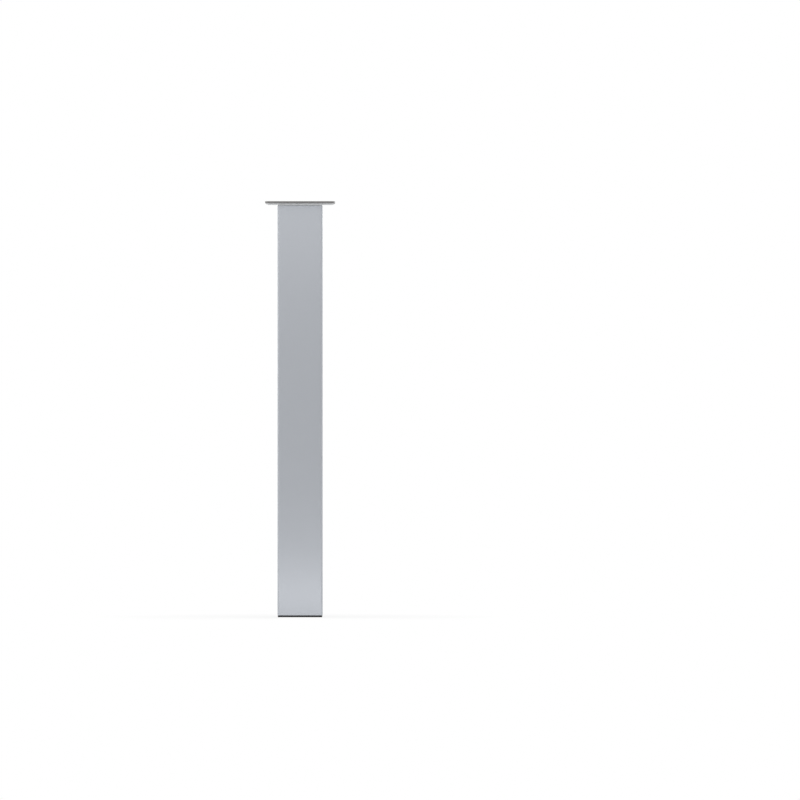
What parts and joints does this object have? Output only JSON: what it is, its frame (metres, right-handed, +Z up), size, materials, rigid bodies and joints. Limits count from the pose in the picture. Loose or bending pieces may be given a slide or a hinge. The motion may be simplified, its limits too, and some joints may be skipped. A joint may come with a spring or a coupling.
{
  "type": "adjustable table leg",
  "caption": "Square steel table leg with a bevelled cast mounting plate and a black square foot that winds in and out on a spindle to level a table.",
  "frame": {"origin": "on the floor, on the leg's vertical axis, with the foot wound fully in", "axes": "+Z up along the leg to the mounting plate, -Y towards the side that the picture shows, +Y the back with the lock screws"},
  "size_m": [0.118, 0.118, 0.705],
  "materials": {
    "cast_plate": "grey zinc casting, with a satin silver coating on its underside and collar",
    "silver_tube": "satin metallic silver coating on steel",
    "plated_steel": "bright zinc plating",
    "spring_steel": "dark phosphated spring steel",
    "black_nylon": "fine-textured black nylon"
  },
  "bodies": {
    "leg": {"mounting_plate": "cast_plate", "leg_tube": "silver_tube", "lock_screws": "plated_steel", "foot_plug": "black_nylon", "spindle_nut": "plated_steel"},
    "foot": {"leveling_foot": "black_nylon"},
    "spindle": {"leveling_spindle": "plated_steel", "retaining_rings": "spring_steel"}
  },
  "joints": [
    {"name": "foot_slide", "type": "slide", "parent": "leg", "child": "foot", "axis": [0, 0, -1], "range_m": [0, 0.028]},
    {"name": "spindle_turn", "type": "hinge", "parent": "foot", "child": "spindle", "pos_m": [0, 0, 0.05], "axis": [0, 0, -1], "range_deg": [0, 6720]}
  ],
  "couplings": [
    {"joint": "spindle_turn", "follows": "foot_slide", "rad_per_m": 4188.8}
  ]
}
